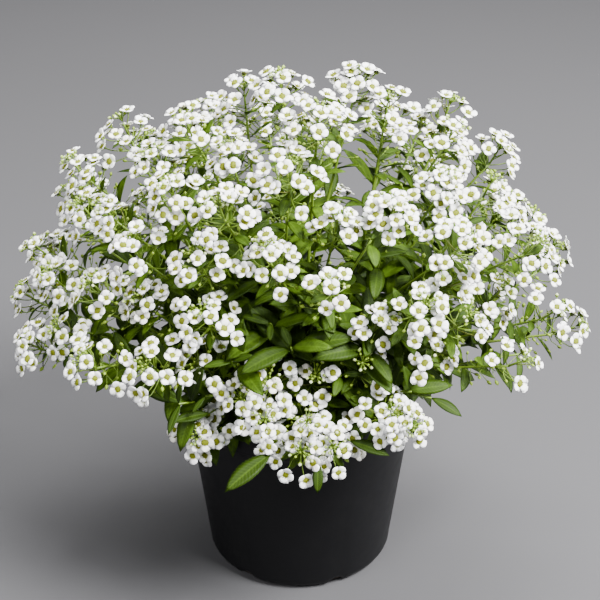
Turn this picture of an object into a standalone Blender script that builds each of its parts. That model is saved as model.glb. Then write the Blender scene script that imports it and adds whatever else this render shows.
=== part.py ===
"""Sweet alyssum in full bloom in a round nursery pot.

Every flowering stem stands in its own hole in the potting soil, fans out over the pot's rim and
branches into flower heads, so the heads together form one broad mound. Units are metres, +Z is up,
the origin is the middle of the pot's base, and -Y is the front of the plant.
"""

import math
import random

import bmesh
import bpy
from mathutils import Vector
from mathutils.bvhtree import BVHTree

MM = 0.001

# Pot: a thin moulded shell with a rolled rim and a rounded foot.
POT_RIM_RADIUS = 60.0 * MM
POT_BASE_RADIUS = 48.5 * MM
POT_HEIGHT = 100.0 * MM
POT_WALL = 1.6 * MM
POT_FLOOR = 2.2 * MM
RIM_BAND = 12.0 * MM
RIM_STEP = 1.2 * MM
RIM_TAPER = 0.3 * MM
RIM_UNDERCUT = 0.6 * MM
FOOT_ROUND = 7.0 * MM
FOOT_ARC_STEPS = 3
POT_SIDES = 24
DRAIN_RADIUS = 4.0 * MM
DRAIN_RING = 32.0 * MM
DRAIN_COUNT = 4
DRAIN_SIDES = 8
DRAIN_CUT = 12.0 * MM
FOOT_CHAMFER = FOOT_ROUND * 0.6
WALL_SLOPE = (POT_RIM_RADIUS - RIM_STEP - POT_BASE_RADIUS) / (POT_HEIGHT - RIM_BAND)

# Soil: fills the pot to a little below the rim.
FIT_GAP = 0.4 * MM
SOIL_LEVEL = 90.0 * MM
SOIL_CROWN = 2.5 * MM
SOIL_SHOULDER = 1.0 * MM
SOIL_SIDES = 16
HOLE_DEPTH = 9.0 * MM
HOLE_CUT = 24.0 * MM
HOLE_SIDES = 4

# Stems: the mound is measured from the crown, the point where the stems fan out.
CROWN = Vector((0.0, 0.0, 92.0 * MM))
STEM_RADIUS = 1.5 * MM
STEM_TOP_RADIUS = 1.05 * MM
STEM_SIDES = 4
BRANCH_RADIUS = 0.95 * MM
BRANCHING_SHARE = 0.56
STEM_RISE = 14.0 * MM
BRANCH_START = 0.12
BRANCH_STAGGER = 0.24
BRANCH_ARCH = 3.0 * MM
BASE_SPREAD = 41.0 * MM
BASE_SPACING = 8.0 * MM
BASE_ROUNDS = 200
UPRIGHT_DEG = 95

# Flower heads: a ring of florets round a top one, on pedicels that root in the stem's end.
HEAD_SPACING_DEG = 6.6
HEAD_RING = {1: 0.0, 2: 1.0, 3: 1.22}
SPACING_REACH = 152.0
HEAD_LEVELS = (-5.0 * MM, 4.0 * MM)
HEAD_LIFT = 0.35
HEAD_FLARE = 0.6
HEAD_DEPTH = 12.0 * MM
PEDICEL_LENGTH = 14.5 * MM
PEDICEL_LEAN_DEG = 57.0
PEDICEL_LIFT = 0.45
LEAN_STEP_DEG = 0.2
PEDICEL_RADIUS = 0.5 * MM
FLORET_RADIUS = 8.4 * MM
FLORET_THICKNESS = 1.3 * MM
NOTCH_SHARE = 0.58
TIP_LIFT = 0.9
NOTCH_LIFT = 0.1
HEART_LIFT = 0.35
RING_FLORETS = 3
HUB_LENGTH = 2.2 * MM
HEAD_TRIES = 30
HEAD_SLIP = 0.6 * MM

# Leaves: narrow, folded a little along the midrib, pointed at both ends.
LEAF_LENGTH = 27.0 * MM
LEAF_WIDTH = 7.0 * MM
LEAF_THICKNESS = 0.9 * MM
LEAF_FOLD = 1.1 * MM
LEAF_DROOP = 3.5 * MM
LEAF_ROOT = 1.2 * MM
LEAF_TRIES = 8
LEAF_TURN = 2.4
LEAF_SWAY = 0.6
LEAF_TURN_STEP = 0.8
LEAF_UPWARDS = 0.75
LEAF_SIZES = (0.8, 1.15)
LEAF_ON_STEM = 0.62
LEAF_ON_BRANCH = 0.4
LEAF_ABOVE_RIM = 1.0 * MM

CLEARANCES = (1.0, 1.03)
SEED = 41

# Where each stem's heads stand, seen from the crown: azimuth from the front towards +X, rise above
# level, reach in mm, and number of heads. The front half follows the plant as pictured.
FRONT_STEMS = (
    (-100, 53, 174, 2),
    (-88, 42, 163, 3),
    (-78, 27, 153, 3),
    (-58, 32, 147, 3),
    (-39, 40, 135, 3),
    (-62, 59, 162, 3),
    (-84, 76, 170, 2),
    (-43, 52, 150, 2),
    (-24, 68, 165, 3),
    (20, 82, 183, 3),
    (76, 70, 175, 2),
    (4, 57, 150, 3),
    (103, 58, 168, 2),
    (48, 58, 160, 3),
    (75, 47, 161, 3),
    (79, 28, 151, 3),
    (42, 46, 144, 2),
    (54, 35, 141, 3),
    (30, 31, 114, 3),
    (-4, 27, 101, 3),
    (-21, 35, 105, 2),
    (-37, 19, 100, 1),
    (26, 45, 127, 1),
)
BACK_STEMS = (
    (112, 32, 152, 3),
    (147, 30, 146, 3),
    (180, 29, 143, 3),
    (-147, 30, 146, 3),
    (-112, 31, 152, 3),
    (136, 54, 157, 3),
    (180, 53, 154, 3),
    (-136, 54, 157, 3),
)
STEMS = FRONT_STEMS + BACK_STEMS


def clear_scene():
    for item in list(bpy.data.objects):
        bpy.data.objects.remove(item)


def make_collection(name):
    group = bpy.data.collections.new(name)
    bpy.context.scene.collection.children.link(group)
    return group


def make_material(name, colour, roughness):
    material = bpy.data.materials.new(name)
    material.use_nodes = True
    shader = material.node_tree.nodes["Principled BSDF"]
    shader.inputs["Base Color"].default_value = (*colour, 1.0)
    shader.inputs["Roughness"].default_value = roughness
    material.diffuse_color = (*colour, 1.0)
    return material


def mesh_object(name, solid, group, material):
    """An object from (points, faces)."""
    points, faces = solid
    mesh = bpy.data.meshes.new(name)
    work = bmesh.new()
    corners = [work.verts.new(point) for point in points]
    for face in faces:
        work.faces.new([corners[index] for index in face])
    bmesh.ops.recalc_face_normals(work, faces=work.faces)
    work.to_mesh(mesh)
    work.free()
    item = bpy.data.objects.new(name, mesh)
    item.data.materials.append(material)
    group.objects.link(item)
    return item


def direction(azimuth_deg, rise_deg):
    """Unit vector from the crown: azimuth 0 is the front, -Y, and 90 is +X."""
    azimuth, rise = math.radians(azimuth_deg), math.radians(rise_deg)
    return Vector((
        math.sin(azimuth) * math.cos(rise),
        -math.cos(azimuth) * math.cos(rise),
        math.sin(rise),
    ))


def square_to(axis, turn=0.0):
    """Two unit vectors square to axis and to each other, turned about it by turn radians."""
    helper = Vector((0, 0, 1)) if abs(axis.z) < 0.9 else Vector((1, 0, 0))
    side = axis.cross(helper).normalized()
    other = axis.cross(side).normalized()
    return (
        side * math.cos(turn) + other * math.sin(turn),
        other * math.cos(turn) - side * math.sin(turn),
    )


def bezier(points, steps):
    """Points at equal shares of a quadratic or cubic Bezier curve."""
    line = []
    for step in range(steps + 1):
        share = step / steps
        level = [Vector(p) for p in points]
        while len(level) > 1:
            level = [a.lerp(b, share) for a, b in zip(level, level[1:])]
        line.append(level[0])
    return line


def tube(line, start_radius, end_radius, sides):
    """A closed tapering tube along a line of points."""
    points, faces = [], []
    side, other = square_to((line[1] - line[0]).normalized())
    for index, centre in enumerate(line):
        ahead = line[min(index + 1, len(line) - 1)] - line[max(index - 1, 0)]
        along = ahead.normalized()
        side = (side - along * side.dot(along)).normalized()
        other = along.cross(side)
        radius = start_radius + (end_radius - start_radius) * index / (len(line) - 1)
        for corner in range(sides):
            angle = math.tau * corner / sides
            points.append(centre + (side * math.cos(angle) + other * math.sin(angle)) * radius)
    for index in range(len(line) - 1):
        for corner in range(sides):
            low = index * sides + corner
            near = index * sides + (corner + 1) % sides
            faces.append((low, near, near + sides, low + sides))
    faces.append(tuple(reversed(range(sides))))
    faces.append(tuple(range(len(points) - sides, len(points))))
    return points, faces


def rim_of(centre, facing, side, other):
    """The eight rim corners of a floret, notch and petal tip in turn, with the tips lifted."""
    rim = []
    for corner in range(8):
        angle = math.tau * corner / 8
        radius = FLORET_RADIUS * (1.0 if corner % 2 else NOTCH_SHARE)
        lift = facing * FLORET_THICKNESS * (TIP_LIFT if corner % 2 else NOTCH_LIFT)
        rim.append(centre + (side * math.cos(angle) + other * math.sin(angle)) * radius + lift)
    return rim


def add_floret(points, faces, neck, centre, facing, side, other):
    """Closes a pedicel's open neck, given by its corners, with a floret of four petals.

    Each neck corner serves two or three of the rim's eight edges, and the face is a shallow cup.
    """
    first = len(points)
    points += rim_of(centre, facing, side, other)
    points.append(centre + facing * FLORET_THICKNESS * HEART_LIFT)
    middle = first + 8
    faces += [(middle, first + i, first + (i + 1) % 8) for i in range(8)]
    edge = 0
    for corner, edges in enumerate((2, 2, 2, 2) if len(neck) == 4 else (3, 3, 2)):
        for _ in range(edges):
            faces.append((first + (edge + 1) % 8, first + edge % 8, neck[corner]))
            edge += 1
        faces.append((neck[corner], neck[(corner + 1) % len(neck)], first + edge % 8))


def flowering_branch(line, axis, turn, lean):
    """One branch with its head: a three-sided tube whose last length is the hub.

    Each side of the hub opens into a pedicel with a floret, and the tube's own end carries the
    top floret, so the whole branch is one closed surface.
    """
    points, faces = [], []
    sides = RING_FLORETS
    hub = line[-1]
    line = line + [hub + axis * HUB_LENGTH, hub + axis * (HEAD_DEPTH - FLORET_THICKNESS)]
    side, other = square_to(axis, turn)
    for index, centre in enumerate(line):
        along = (line[min(index + 1, len(line) - 1)] - line[max(index - 1, 0)]).normalized()
        ring_side = (side - along * side.dot(along)).normalized()
        ring_other = along.cross(ring_side)
        for corner in range(sides):
            angle = math.tau * corner / sides
            spoke = ring_side * math.cos(angle) + ring_other * math.sin(angle)
            points.append(centre + spoke * BRANCH_RADIUS)
    faces.append(tuple(reversed(range(sides))))
    hub_ring = len(line) - 3
    for index in range(len(line) - 1):
        for corner in range(sides):
            low = index * sides + corner
            near = index * sides + (corner + 1) % sides
            quad = (low, near, near + sides, low + sides)
            if index != hub_ring:
                faces.append(quad)
                continue
            angle = math.tau * (corner + 0.5) / sides
            spoke = side * math.cos(angle) + other * math.sin(angle)
            add_pedicel(points, faces, quad, hub, axis, spoke, lean)
    top = tuple(range((len(line) - 1) * sides, len(line) * sides))
    add_floret(points, faces, top, hub + axis * HEAD_DEPTH, axis, side, other)
    return points, faces


def add_pedicel(points, faces, quad, hub, axis, spoke, lean):
    """A four-sided pedicel from one side of the hub, ending in a floret that faces outwards."""
    heading = axis * math.cos(lean) + spoke * math.sin(lean)
    facing = (heading + axis * PEDICEL_LIFT).normalized()
    centre = hub + heading * PEDICEL_LENGTH
    across = axis.cross(spoke)
    rise = facing.cross(across)
    neck = len(points)
    for right, up in ((-1, -1), (1, -1), (1, 1), (-1, 1)):
        corner = (across * right + rise * up) * PEDICEL_RADIUS
        points.append(centre - facing * FLORET_THICKNESS + corner)
    for index in range(4):
        ahead = (index + 1) % 4
        faces.append((quad[index], quad[ahead], neck + ahead, neck + index))
    add_floret(points, faces, tuple(range(neck, neck + 4)), centre, facing, -across, -rise)


def leaf(root, along, up, length):
    """A lance-shaped leaf: a pointed outline folded along its midrib, with its tip drooping.

    The upper and lower faces share the outline, and the base sinks into the stem.
    """
    across = along.cross(up).normalized()
    half = LEAF_WIDTH / 2 * length / LEAF_LENGTH
    start = root - along * LEAF_ROOT
    half_thick = up * LEAF_THICKNESS / 2
    mids = []
    for share in (0.38, 0.72):
        droop = up * LEAF_DROOP * share**2
        mids.append(root + along * length * share - droop)
    end = root + along * length - up * LEAF_DROOP
    edges = []
    for middle, width in zip(mids, (1.0, 0.8)):
        rise = up * LEAF_FOLD * width
        edges.append((middle + across * half * width + rise, middle - across * half * width + rise))
    points = [
        start, end,
        mids[0] + half_thick, mids[1] + half_thick,
        mids[0] - half_thick, mids[1] - half_thick,
        edges[0][0], edges[1][0], edges[0][1], edges[1][1],
    ]
    faces = []
    for low, high, flip in ((2, 3, False), (4, 5, True)):
        right = [(0, low, 6), (6, low, high), (6, high, 7), (7, high, 1)]
        left = [(0, 8, low), (8, high, low), (8, 9, high), (9, 1, high)]
        faces += [tuple(reversed(f)) if flip else f for f in right + left]
    return points, faces


def tree_of(solid, grow=1.0):
    """A search tree for crossings, with the solid grown about its own middle."""
    points, faces = solid
    middle = sum(points, Vector()) / len(points)
    grown = [middle + (p - middle) * grow for p in points]
    return BVHTree.FromPolygons(grown, faces)


def crosses(solid, trees):
    """Whether the solid, as it is or grown a little, cuts any of the solids behind these trees."""
    probes = [tree_of(solid, grow) for grow in CLEARANCES]
    return any(probe.overlap(other) for other in trees for probe in probes)


def stem_bases():
    """Where the stems stand in the soil: each under its own heads, pushed apart to even spacing."""
    places = []
    for azimuth, rise, _, _ in STEMS:
        outward = direction(azimuth, 0)
        places.append(outward * BASE_SPREAD * (1 - rise / UPRIGHT_DEG))
    for _ in range(BASE_ROUNDS):
        for first, one in enumerate(places):
            for two in places[first + 1:]:
                gap = one - two
                if 1e-6 < gap.length < BASE_SPACING:
                    push = gap.normalized() * (BASE_SPACING - gap.length) / 2
                    one += push
                    two -= push
        for place in places:
            if place.length > BASE_SPREAD:
                place *= BASE_SPREAD / place.length
    return places


def main_tube(main):
    return tube(main, STEM_RADIUS, STEM_TOP_RADIUS, STEM_SIDES)


def heads_of(stem, rng):
    """The heads of one stem: (tip, axis) each, set evenly round the stem's own direction."""
    azimuth, rise, reach, count = stem
    middle = direction(azimuth, rise)
    side, other = square_to(middle, rng.uniform(0, math.tau))
    ring = math.radians(HEAD_SPACING_DEG) * HEAD_RING[count] * SPACING_REACH / reach
    heads = []
    for index in range(count):
        angle = math.tau * index / count
        spread = (side * math.cos(angle) + other * math.sin(angle)) * math.tan(ring)
        heading = (middle + spread).normalized()
        tip = CROWN + heading * (reach * MM + rng.uniform(*HEAD_LEVELS))
        axis = (heading + Vector((0, 0, HEAD_LIFT)) + spread * HEAD_FLARE).normalized()
        heads.append((tip, axis))
    return heads


def main_stem(base, stem):
    """The line of a main stem: up out of its hole, then over in a curve to its last fork."""
    azimuth, rise, reach, _ = stem
    fork = CROWN + direction(azimuth, rise) * reach * MM * BRANCHING_SHARE
    foot = Vector((base.x, base.y, SOIL_LEVEL - HOLE_DEPTH + FIT_GAP))
    collar = Vector((base.x, base.y, SOIL_LEVEL + SOIL_CROWN))
    climb = collar + Vector((0, 0, STEM_RISE))
    return [foot] + bezier((collar, climb, fork), 2)


def stem_solids(main, stem, rng, trees):
    """Every solid of one flowering stem, clear of the stems behind these trees."""
    azimuth, rise, _, _ = stem
    middle = direction(azimuth, rise)
    solids = [main_tube(main)]
    lines = [main]
    for order, (tip, axis) in enumerate(heads_of(stem, rng)):
        start = main[-1].lerp(main[-2], BRANCH_START + BRANCH_STAGGER * order)
        for attempt in range(HEAD_TRIES):
            slip = Vector(rng.uniform(-1, 1) * HEAD_SLIP * attempt for _ in range(3))
            hub = tip - axis * (HEAD_DEPTH + HEAD_SLIP * attempt) + slip
            bend = start.lerp(hub, 0.6) + middle * BRANCH_ARCH
            line = bezier((start, bend, hub - axis * MM), 2)
            lean = math.radians(PEDICEL_LEAN_DEG - LEAN_STEP_DEG * attempt)
            made = flowering_branch(line, axis, rng.uniform(0, math.tau), lean)
            if not crosses(made, trees):
                break
        else:
            raise RuntimeError(f"no room for a head at azimuth {azimuth}, rise {rise}")
        solids.append(made)
        lines.append(line)
    solids += leaf_solids(lines, rng, trees)
    return solids


def leaf_solids(lines, rng, trees):
    """Leaves in a spiral up the stem and at each branch. One that would cross another is turned."""
    found = []
    spots = [(lines[0], LEAF_ON_STEM)] + [(line, LEAF_ON_BRANCH) for line in lines[1:]]
    for index, (line, share) in enumerate(spots):
        place = share * (len(line) - 1)
        at = min(int(place), len(line) - 2)
        root = line[at].lerp(line[at + 1], place - at)
        along_stem = (line[at + 1] - line[at]).normalized()
        for attempt in range(LEAF_TRIES):
            turn = LEAF_TURN * index + rng.uniform(-LEAF_SWAY, LEAF_SWAY) + attempt * LEAF_TURN_STEP
            side, _ = square_to(along_stem, turn)
            along = (side + along_stem * LEAF_UPWARDS).normalized()
            up = (along_stem - along * along_stem.dot(along)).normalized()
            length = LEAF_LENGTH * rng.uniform(*LEAF_SIZES)
            made = leaf(root, along, up, length)
            low = min(p.z for p in made[0])
            if low > POT_HEIGHT + LEAF_ABOVE_RIM and not crosses(made, trees):
                found.append(made)
                break
    return found


def keep_largest(item):
    """Drops what the union left loose, and any sealed hollow."""
    work = bmesh.new()
    work.from_mesh(item.data)
    left, islands = set(work.verts), []
    while left:
        island, front = set(), [left.pop()]
        while front:
            vert = front.pop()
            island.add(vert)
            for edge in vert.link_edges:
                far = edge.other_vert(vert)
                if far in left:
                    left.remove(far)
                    front.append(far)
        islands.append(island)
    keep = max(islands, key=len)
    bmesh.ops.delete(work, geom=[v for v in work.verts if v not in keep], context="VERTS")
    bmesh.ops.triangulate(work, faces=work.faces)
    work.to_mesh(item.data)
    work.free()


def fuse(name, solids, group, material):
    """Joins the solids into one body with one union on a collection, which is then removed."""
    repeats = make_collection(name + "_repeats")
    item = mesh_object(name, solids[0], group, material)
    for index, solid in enumerate(solids[1:]):
        mesh_object(f"{name}_piece_{index}", solid, repeats, material)
    union = item.modifiers.new("union", "BOOLEAN")
    union.operation = "UNION"
    union.operand_type = "COLLECTION"
    union.collection = repeats
    union.solver = "MANIFOLD"
    graph = bpy.context.evaluated_depsgraph_get()
    joined = bpy.data.meshes.new_from_object(item.evaluated_get(graph))
    item.modifiers.clear()
    item.data = joined
    for piece in list(repeats.objects):
        bpy.data.objects.remove(piece)
    bpy.data.collections.remove(repeats)
    keep_largest(item)
    return item


def turned(name, profile, sides, group, material):
    """A turned solid: the closed profile of (radius, height) pairs carried once round Z."""
    mesh = bpy.data.meshes.new(name)
    points = [(radius, 0.0, height) for radius, height in profile]
    mesh.from_pydata(points, [(i, i + 1) for i in range(len(points) - 1)], [])
    item = bpy.data.objects.new(name, mesh)
    item.data.materials.append(material)
    group.objects.link(item)
    screw = item.modifiers.new("turn", "SCREW")
    screw.axis = "Z"
    screw.steps = screw.render_steps = sides
    screw.use_merge_vertices = True
    screw.merge_threshold = 0.00005
    return item


def make_pot(group, cutters, material):
    """The pot: outer side from the rim down to the rounded foot, then the inside back up."""
    body_top = POT_HEIGHT - RIM_BAND
    outer = [(POT_RIM_RADIUS, POT_HEIGHT), (POT_RIM_RADIUS - RIM_TAPER, body_top)]
    outer.append((POT_RIM_RADIUS - RIM_STEP, body_top - RIM_UNDERCUT))
    for step in range(FOOT_ARC_STEPS + 1):
        angle = math.radians(90 * step / FOOT_ARC_STEPS)
        radius = POT_BASE_RADIUS - FOOT_ROUND * (1 - math.cos(angle))
        outer.append((radius, FOOT_ROUND * (1 - math.sin(angle))))
    inner_radius = POT_BASE_RADIUS - POT_WALL
    inside = [(0.0, 0.0), (0.0, POT_FLOOR), (inner_radius - FOOT_CHAMFER, POT_FLOOR)]
    inside.append((inner_radius, FOOT_ROUND + POT_FLOOR * 0.4))
    inside.append((inner_radius + WALL_SLOPE * (body_top - FOOT_ROUND), body_top))
    inside.append((POT_RIM_RADIUS - POT_WALL, POT_HEIGHT))
    pot = turned("pot", outer + inside + [outer[0]], POT_SIDES, group, material)
    for index in range(DRAIN_COUNT):
        angle = math.tau * (index + 0.5) / DRAIN_COUNT
        bpy.ops.mesh.primitive_cylinder_add(
            vertices=DRAIN_SIDES, radius=DRAIN_RADIUS, depth=DRAIN_CUT,
            location=(DRAIN_RING * math.cos(angle), DRAIN_RING * math.sin(angle), 0.0),
        )
        move_to(bpy.context.object, f"drain_cutter_{index}", cutters["drains"])
    cut = pot.modifiers.new("drains", "BOOLEAN")
    cut.operation = "DIFFERENCE"
    cut.operand_type = "COLLECTION"
    cut.collection = cutters["drains"]
    return pot


def move_to(item, name, group):
    """Puts a new cutter in its own collection and keeps it out of the render."""
    item.name = name
    for old in list(item.users_collection):
        old.objects.unlink(item)
    group.objects.link(item)
    item.hide_render = True
    item.display_type = "WIRE"


def make_soil(group, cutters, bases, material):
    """The root ball: it follows the pot's inside with a small gap, crowned a little on top."""
    foot_radius = POT_BASE_RADIUS - POT_WALL - FIT_GAP * 2
    rim_radius = foot_radius + WALL_SLOPE * (SOIL_LEVEL - FOOT_ROUND) - FIT_GAP
    profile = [
        (0.0, SOIL_LEVEL + SOIL_CROWN),
        (rim_radius * 0.5, SOIL_LEVEL + SOIL_CROWN * 0.8),
        (rim_radius, SOIL_LEVEL - SOIL_SHOULDER),
        (foot_radius, FOOT_ROUND + POT_FLOOR),
        (foot_radius - FOOT_CHAMFER, POT_FLOOR + FIT_GAP),
        (0.0, POT_FLOOR + FIT_GAP),
    ]
    soil = turned("potting_soil", profile, SOIL_SIDES, group, material)
    hole_radius = (STEM_RADIUS + FIT_GAP) / math.cos(math.pi / HOLE_SIDES)
    for index, base in enumerate(bases):
        bpy.ops.mesh.primitive_cylinder_add(
            vertices=HOLE_SIDES, radius=hole_radius, depth=HOLE_CUT,
            location=(base.x, base.y, SOIL_LEVEL - HOLE_DEPTH + HOLE_CUT / 2),
        )
        move_to(bpy.context.object, f"stem_hole_{index}", cutters["holes"])
    cut = soil.modifiers.new("stem holes", "BOOLEAN")
    cut.operation = "DIFFERENCE"
    cut.operand_type = "COLLECTION"
    cut.collection = cutters["holes"]
    return soil


def main():
    clear_scene()
    group = make_collection("sweet_alyssum")
    cutters = {name: make_collection(name) for name in ("drains", "holes")}
    black = make_material("pot_plastic", (0.012, 0.012, 0.013), 0.42)
    earth = make_material("potting_mix", (0.035, 0.024, 0.016), 0.95)
    plant = make_material("alyssum_stem_and_bloom", (0.62, 0.72, 0.48), 0.6)
    bases = stem_bases()
    pot = make_pot(group, cutters, black)
    make_soil(group, cutters, bases, earth)
    mains = [main_stem(base, stem) for base, stem in zip(bases, STEMS)]
    main_trees = [tree_of(main_tube(main)) for main in mains]
    trees = [BVHTree.FromObject(pot, bpy.context.evaluated_depsgraph_get())]
    for index, (main, stem) in enumerate(zip(mains, STEMS)):
        rng = random.Random(SEED + index)
        solids = stem_solids(main, stem, rng, trees + main_trees[index + 1:])
        fuse(f"flowering_stem_{index + 1:02d}", solids, group, plant)
        trees += [tree_of(solid) for solid in solids]


main()
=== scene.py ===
"""Sweet alyssum in full bloom in a black nursery pot.

The layout of the stems and flower heads is worked out from the crown, the point where the stems fan
out of the soil. Every petal, leaf, bud, pod and stalk is a closed surface worked out from a formula
for its own outline. Units are metres, +Z is up and -Y is the front of the plant.
"""

import math
import random

import bmesh
import bpy
import numpy as np
from bpy.props import FloatProperty, FloatVectorProperty, IntProperty, PointerProperty
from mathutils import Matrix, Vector


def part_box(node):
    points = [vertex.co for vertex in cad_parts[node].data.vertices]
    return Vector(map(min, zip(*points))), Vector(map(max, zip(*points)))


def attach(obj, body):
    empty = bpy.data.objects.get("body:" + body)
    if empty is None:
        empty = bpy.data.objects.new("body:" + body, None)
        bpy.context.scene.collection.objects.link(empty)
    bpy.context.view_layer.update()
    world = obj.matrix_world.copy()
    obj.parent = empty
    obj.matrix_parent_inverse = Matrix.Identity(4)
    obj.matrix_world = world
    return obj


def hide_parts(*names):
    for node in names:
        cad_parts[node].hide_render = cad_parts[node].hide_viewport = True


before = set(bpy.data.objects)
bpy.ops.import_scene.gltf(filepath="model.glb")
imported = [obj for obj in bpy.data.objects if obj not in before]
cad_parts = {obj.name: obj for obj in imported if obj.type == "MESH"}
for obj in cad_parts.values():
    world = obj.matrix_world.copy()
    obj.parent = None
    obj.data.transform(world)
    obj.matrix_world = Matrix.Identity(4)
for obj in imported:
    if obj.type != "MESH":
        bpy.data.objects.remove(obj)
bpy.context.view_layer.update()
POT_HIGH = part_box("pot")[1]
SOIL_LOW, SOIL_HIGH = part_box("potting_soil")

bl_info = {
    "name": "Sweet Alyssum in a Pot",
    "version": (1, 0, 0),
    "blender": (4, 5, 0),
    "location": "3D View > Sidebar > Alyssum",
    "description": "Builds a flowering sweet alyssum in its nursery pot",
    "category": "Object",
}

MM = 0.001

# Layout, as in the part: the crown, the stems' bases and the heads.
CROWN = Vector((0.0, 0.0, 92.0 * MM))
SOIL_LEVEL = 90.0 * MM
COLLAR_RISE = 0.5 * MM
BRANCHING_SHARE = 0.56
STEM_RISE = 14.0 * MM
BRANCH_START = 0.12
BRANCH_STAGGER = 0.24
BRANCH_BEND = 0.6
BRANCH_ARCH = 3.0 * MM
BASE_SPREAD = 41.0 * MM
BASE_SPACING = 8.0 * MM
BASE_ROUNDS = 200
UPRIGHT_DEG = 95.0
HEAD_SPACING_DEG = 6.6
HEAD_RING = {1: 0.0, 2: 1.0, 3: 1.22}
SPACING_REACH = 152.0
HEAD_LEVELS = (-5.0 * MM, 4.0 * MM)
HEAD_LIFT = 0.35
HEAD_FLARE = 0.6
HEAD_DEPTH = 12.0 * MM
SEED = 41

# Azimuth from the front towards +X, rise above level, reach in mm, and number of heads.
STEMS = (
    (-100, 53, 174, 2),
    (-88, 42, 163, 3),
    (-78, 27, 153, 3),
    (-58, 32, 147, 3),
    (-39, 40, 135, 3),
    (-62, 59, 162, 3),
    (-84, 76, 170, 2),
    (-43, 52, 150, 2),
    (-24, 68, 165, 3),
    (20, 82, 183, 3),
    (76, 70, 175, 2),
    (4, 57, 150, 3),
    (103, 58, 168, 2),
    (48, 58, 160, 3),
    (75, 47, 161, 3),
    (79, 28, 151, 3),
    (42, 46, 144, 2),
    (54, 35, 141, 3),
    (30, 31, 114, 3),
    (-4, 27, 101, 3),
    (-21, 35, 105, 2),
    (-37, 19, 100, 1),
    (26, 45, 127, 1),
    (112, 32, 152, 3),
    (147, 30, 146, 3),
    (180, 29, 143, 3),
    (-147, 30, 146, 3),
    (-112, 31, 152, 3),
    (136, 54, 157, 3),
    (180, 53, 154, 3),
    (-136, 54, 157, 3),
)

# Leafy shoots that bear no flowers: number of the stem they grow from, azimuth, rise and reach of
# their tips as for the stems, leaves, and size of the leaves.
SHOOTS = (
    (12, -3, 42, 108, 11, 1.05),
    (12, -11, 48, 106, 9, 0.9),
    (12, 11, 52, 116, 9, 0.8),
    (12, 0, 53, 110, 9, 0.8),
    (23, 22, 40, 108, 10, 1.05),
    (23, 30, 46, 116, 9, 0.95),
    (20, 6, 29, 92, 9, 0.85),
    (20, 14, 35, 96, 8, 0.85),
    (21, -21, 37, 108, 9, 0.9),
    (21, -28, 27, 104, 8, 0.8),
    (22, -33, 24, 112, 8, 0.85),
    (5, -25, 45, 112, 9, 0.85),
    (5, -40, 28, 118, 8, 0.8),
    (19, 33, 27, 106, 8, 0.9),
    (17, 47, 41, 128, 9, 0.85),
    (17, 37, 44, 126, 8, 0.8),
    (9, -33, 57, 134, 9, 0.75),
    (9, 25, 58, 142, 8, 0.75),
    (14, 62, 53, 146, 8, 0.75),
    (6, -66, 46, 142, 8, 0.8),
    (18, 64, 24, 128, 8, 0.85),
    (3, -70, 27, 132, 8, 0.85),
)

# Single leaves that hang over the pot's rim: stem, azimuth, rise and reach of the leaf's foot,
# azimuth and rise of its direction, and length in mm.
HANGING = (
    (20, -8, 14, 97, -50, -14, 29.0),
    (20, 14, 17, 98, 68, -4, 20.0),
    (20, 5, 12, 98, -2, -52, 15.0),
    (22, -28, 22, 96, -62, 8, 19.0),
    (19, 38, 24, 108, 62, -14, 17.0),
)

# Small heads that fill the large clump over the rim: stem, azimuth, rise and reach.
SPRIGS = (
    (20, -10, 24, 102),
    (20, 2, 24, 103),
    (20, 9, 17, 103),
    (22, -31, 15, 99),
    (19, 25, 24, 111),
)

# Stems with more or fewer florets in each ring of a head than the others, and the single heads,
# by stem and place in it, that stand in the leafy gap and have few.
FULLNESS = {9: 1, 10: 1, 14: 1, 15: -1, 16: -1, 18: -1, 23: -1,
            25: 1, 26: 1, 27: 1, 29: 1, 30: 1, 31: 1}
SPARSE = {(20, 1): -3, (21, 0): -2, (19, 2): -2, (12, 1): -1}

# A leaf that would come nearer than this to the middle of a floret isn't grown.
LEAF_CLEARANCE = 2.3 * MM

GOLDEN = math.radians(137.5)


# Layout of stems and heads

def direction(azimuth_deg, rise_deg):
    """Unit vector from the crown: azimuth 0 is the front, -Y, and 90 is +X."""
    azimuth, rise = math.radians(azimuth_deg), math.radians(rise_deg)
    return Vector((
        math.sin(azimuth) * math.cos(rise),
        -math.cos(azimuth) * math.cos(rise),
        math.sin(rise),
    ))


def square_to(axis, turn=0.0):
    """Two unit vectors square to axis and to each other, turned about it by turn radians."""
    helper = Vector((0, 0, 1)) if abs(axis.z) < 0.9 else Vector((1, 0, 0))
    side = axis.cross(helper).normalized()
    other = axis.cross(side).normalized()
    return (
        side * math.cos(turn) + other * math.sin(turn),
        other * math.cos(turn) - side * math.sin(turn),
    )


def stem_bases():
    """Where the stems stand in the soil: each under its own heads, pushed apart to even spacing."""
    places = []
    for azimuth, rise, _, _ in STEMS:
        places.append(direction(azimuth, 0) * BASE_SPREAD * (1 - rise / UPRIGHT_DEG))
    for _ in range(BASE_ROUNDS):
        for first, one in enumerate(places):
            for two in places[first + 1:]:
                gap = one - two
                if 1e-6 < gap.length < BASE_SPACING:
                    push = gap.normalized() * (BASE_SPACING - gap.length) / 2
                    one += push
                    two -= push
        for place in places:
            if place.length > BASE_SPREAD:
                place *= BASE_SPREAD / place.length
    return places


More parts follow.
